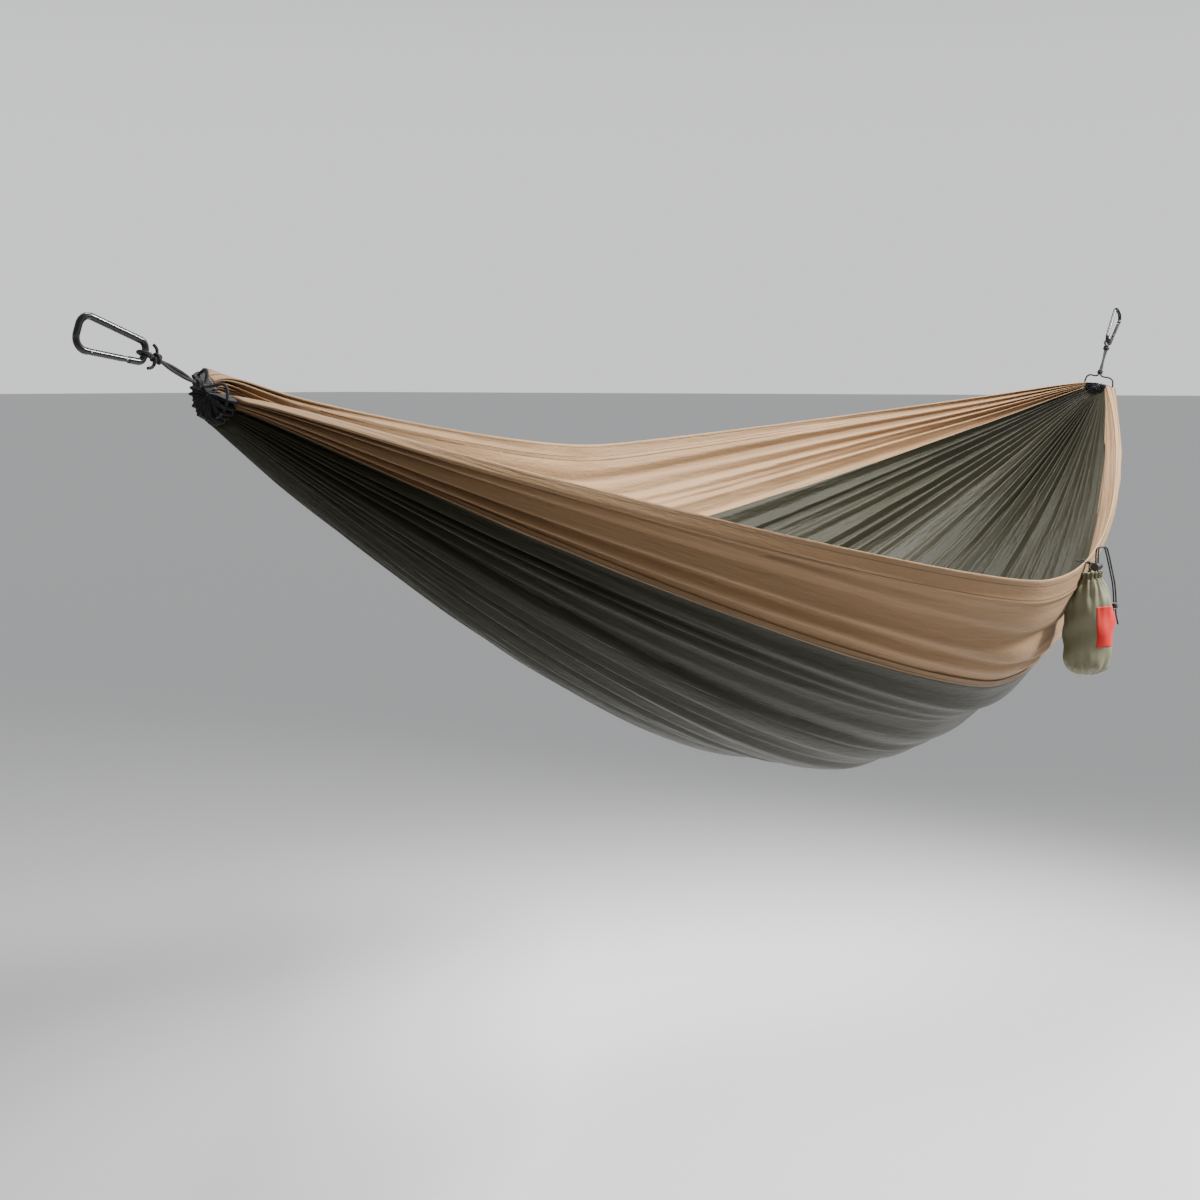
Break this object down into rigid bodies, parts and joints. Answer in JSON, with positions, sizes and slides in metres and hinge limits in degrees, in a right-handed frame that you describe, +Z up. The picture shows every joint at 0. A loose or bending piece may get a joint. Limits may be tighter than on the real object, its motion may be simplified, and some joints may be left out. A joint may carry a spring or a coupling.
{
  "type": "camping hammock",
  "caption": "Gathered-end parachute-nylon hammock hung open on rope and carabiners, with a storage sack hanging from its long edge.",
  "frame": {"origin": "where the left anchor bears on the inside of the left carabiner's wide end", "axes": "+X from the left anchor towards the right anchor, +Z up, -Y the side with the storage sack"},
  "size_m": [3.1497, 1.2283, 0.8611],
  "materials": {
    "olive_nylon": "satin",
    "tan_nylon": "satin",
    "seam_nylon": "satin",
    "black_nylon": "satin",
    "black_aluminium": "gloss",
    "steel_pin": "satin",
    "sack_nylon": "satin",
    "label_red": "matte",
    "lock_plastic": "satin",
    "black_cord": "matte"
  },
  "bodies": {
    "left_carabiner": {"left_carabiner_frame": "black_aluminium", "left_gate_hinge_pin": "steel_pin"},
    "left_gate": {"left_gate": "black_aluminium", "left_gate_nose_pin": "steel_pin"},
    "bed": {"centre_panel": "olive_nylon", "near_side_panel": "tan_nylon", "far_side_panel": "tan_nylon", "near_seam": "seam_nylon", "far_seam": "seam_nylon", "near_hem": "tan_nylon", "far_hem": "tan_nylon", "left_casing": "black_nylon", "left_gather_cord": "black_cord", "left_gather_knot": "black_cord", "left_rope_a": "black_cord", "left_rope_b": "black_cord", "left_tie_knot": "black_cord", "left_tie_loop": "black_cord", "left_tie_tail_a": "black_cord", "left_tie_tail_b": "black_cord", "right_casing": "black_nylon", "right_gather_cord": "black_cord", "right_gather_knot": "black_cord", "right_rope_a": "black_cord", "right_rope_b": "black_cord", "right_tie_knot": "black_cord", "right_tie_loop": "black_cord", "right_tie_tail_a": "black_cord", "right_tie_tail_b": "black_cord", "hang_loop": "black_cord", "right_carabiner_frame": "black_aluminium", "right_gate_hinge_pin": "steel_pin"},
    "right_gate": {"right_gate": "black_aluminium", "right_gate_nose_pin": "steel_pin"},
    "sack": {"sack_body": "sack_nylon", "sack_channel": "sack_nylon", "sack_label": "label_red", "sack_tape": "sack_nylon", "drawcord_strand_a": "black_cord", "drawcord_strand_b": "black_cord", "drawcord_knot": "black_cord", "drawcord_tail_a": "black_cord", "drawcord_tail_b": "black_cord"},
    "cord_lock": {"cord_lock_barrel": "lock_plastic"},
    "lock_button": {"cord_lock_button": "lock_plastic"}
  },
  "joints": [
    {"name": "bed_swing", "type": "hinge", "parent": "left_carabiner", "child": "bed", "pos_m": [0.08874, 0, -0.02591], "axis": [0.999, 0, 0.0452], "range_deg": [-20, 20]},
    {"name": "left_gate_open", "type": "hinge", "parent": "left_carabiner", "child": "left_gate", "pos_m": [0.06126, 0, -0.03255], "axis": [0, 1, 0], "range_deg": [0, 24], "stiffness_Nm_per_rad": 0.08, "springref_deg": -20.05},
    {"name": "right_gate_open", "type": "hinge", "parent": "bed", "child": "right_gate", "pos_m": [3.0893, 0, 0.04935], "axis": [0, -1, 0], "range_deg": [0, 24], "stiffness_Nm_per_rad": 0.08, "springref_deg": -20.05},
    {"name": "sack_swing", "type": "hinge", "parent": "bed", "child": "sack", "pos_m": [1.45921, -0.60974, -0.34383], "axis": [-1, 0, 0], "range_deg": [-6, 50]},
    {"name": "cord_lock_slide", "type": "slide", "parent": "sack", "child": "cord_lock", "axis": [0, 0, 1], "range_m": [0, 0.006]},
    {"name": "lock_button_press", "type": "slide", "parent": "cord_lock", "child": "lock_button", "axis": [-1, 0, 0], "range_m": [0, 0.003], "stiffness_N_per_m": 400, "springref_m": -0.002}
  ]
}
